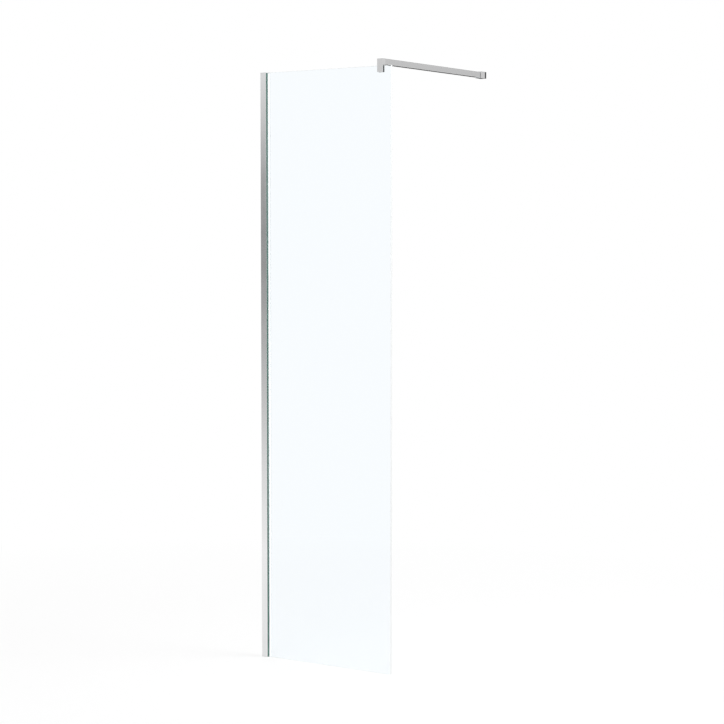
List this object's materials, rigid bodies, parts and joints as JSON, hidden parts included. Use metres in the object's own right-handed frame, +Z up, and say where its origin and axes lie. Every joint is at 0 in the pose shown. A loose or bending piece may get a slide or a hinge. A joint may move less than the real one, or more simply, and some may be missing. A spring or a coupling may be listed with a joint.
{
  "type": "walk-in shower screen",
  "caption": "Fixed walk-in shower screen: a tall clear glass sheet in a slim wall channel, braced at the top by a square bar to the opposite wall.",
  "frame": {"origin": "on the face of the wall, at the middle of the glass thickness and the foot of the wall profile", "axes": "+X along the glass away from the wall, +Y across the glass towards the opposite wall along the bar, +Z up"},
  "size_m": [0.5, 0.625, 1.924],
  "materials": {
    "polished_aluminium": "polished and clear anodised extrusion",
    "mill_aluminium": "satin extrusion",
    "silver_plastic": "silver moulded plastic",
    "clear_glass": "clear toughened, polished edges",
    "gasket_rubber": "smooth green-grey",
    "clear_seal": "smooth translucent",
    "soft_liner": "matt black",
    "nylon": "natural nylon",
    "steel_screws": "bright stainless",
    "chromed_brass": "bright chrome",
    "bar_steel": "bright polished stainless tube",
    "dark_zinc": "black coated"
  },
  "bodies": {
    "wall_side": {"wall_profile": "polished_aluminium", "profile_top_cap": "silver_plastic"},
    "glass_side": {"glass_profile": "mill_aluminium", "glass_panel": "clear_glass", "front_gasket": "gasket_rubber", "rear_gasket": "clear_seal", "edge_pads": "soft_liner", "locking_screws": "steel_screws", "cap_washers": "nylon", "screw_caps": "silver_plastic"},
    "bar_side": {"clamp_body": "chromed_brass", "clamp_liner": "soft_liner", "clamp_grub_screws": "steel_screws", "support_bar": "bar_steel", "bar_lock_screw": "steel_screws", "bar_end_bush": "nylon"},
    "bracket_side": {"wall_collar": "chromed_brass", "wall_plate": "dark_zinc", "wall_gasket": "soft_liner", "collar_grub_screws": "steel_screws"}
  },
  "joints": [
    {"name": "width_adjust", "type": "slide", "parent": "wall_side", "child": "glass_side", "axis": [1, 0, 0], "range_m": [-0.005, 0.005]},
    {"name": "clamp_along_glass", "type": "slide", "parent": "glass_side", "child": "bar_side", "axis": [1, 0, 0], "range_m": [-0.4, 0.029]},
    {"name": "bracket_along_bar", "type": "slide", "parent": "bar_side", "child": "bracket_side", "axis": [0, 1, 0], "range_m": [-0.004, 0.006]}
  ]
}
